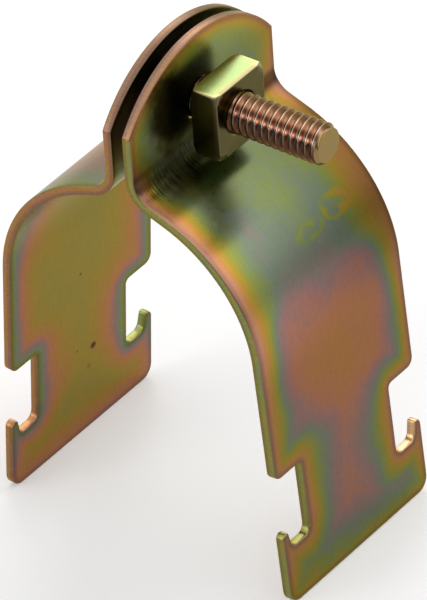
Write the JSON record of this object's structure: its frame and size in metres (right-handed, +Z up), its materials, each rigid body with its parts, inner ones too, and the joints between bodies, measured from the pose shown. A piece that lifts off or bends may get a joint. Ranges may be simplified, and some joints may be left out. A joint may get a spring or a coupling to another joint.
{
  "type": "strut pipe clamp",
  "caption": "Two-piece strut pipe clamp: bent steel straps with hooked legs, drawn together on a pipe by a screw and square nut.",
  "frame": {"origin": "middle of the pipe's seat: the pipe's axis at half the straps' width", "axes": "+X along the screw from its head towards the nut, +Y along the pipe, +Z up from the feet to the ears"},
  "size_m": [0.053, 0.034, 0.0827],
  "materials": {
    "strap_zinc": "yellow chromate on zinc, with green, gold and pink bands",
    "screw_zinc": "yellow chromate on zinc, copper and pink in the thread",
    "nut_zinc": "yellow chromate on zinc, yellow-green"
  },
  "bodies": {
    "head_strap": {"head_side_strap": "strap_zinc"},
    "nut_strap": {"nut_side_strap": "strap_zinc"},
    "screw": {"clamp_screw": "screw_zinc"},
    "nut": {"square_nut": "nut_zinc"}
  },
  "joints": [
    {"name": "screw_turn", "type": "hinge", "parent": "head_strap", "child": "screw", "pos_m": [0, 0, 0.03139], "axis": [1, 0, 0], "range_deg": [-3960.01, 1080.01]},
    {"name": "nut_travel", "type": "slide", "parent": "head_strap", "child": "nut", "axis": [1, 0, 0], "range_m": [-0.00381, 0.01397]},
    {"name": "strap_close", "type": "slide", "parent": "head_strap", "child": "nut_strap", "axis": [1, 0, 0], "range_m": [-0.0018, 0.0066]}
  ],
  "couplings": [
    {"joint": "screw_turn", "follows": "strap_close", "rad_per_m": -10472},
    {"joint": "nut_travel", "follows": "strap_close", "ratio": 2.1167}
  ]
}
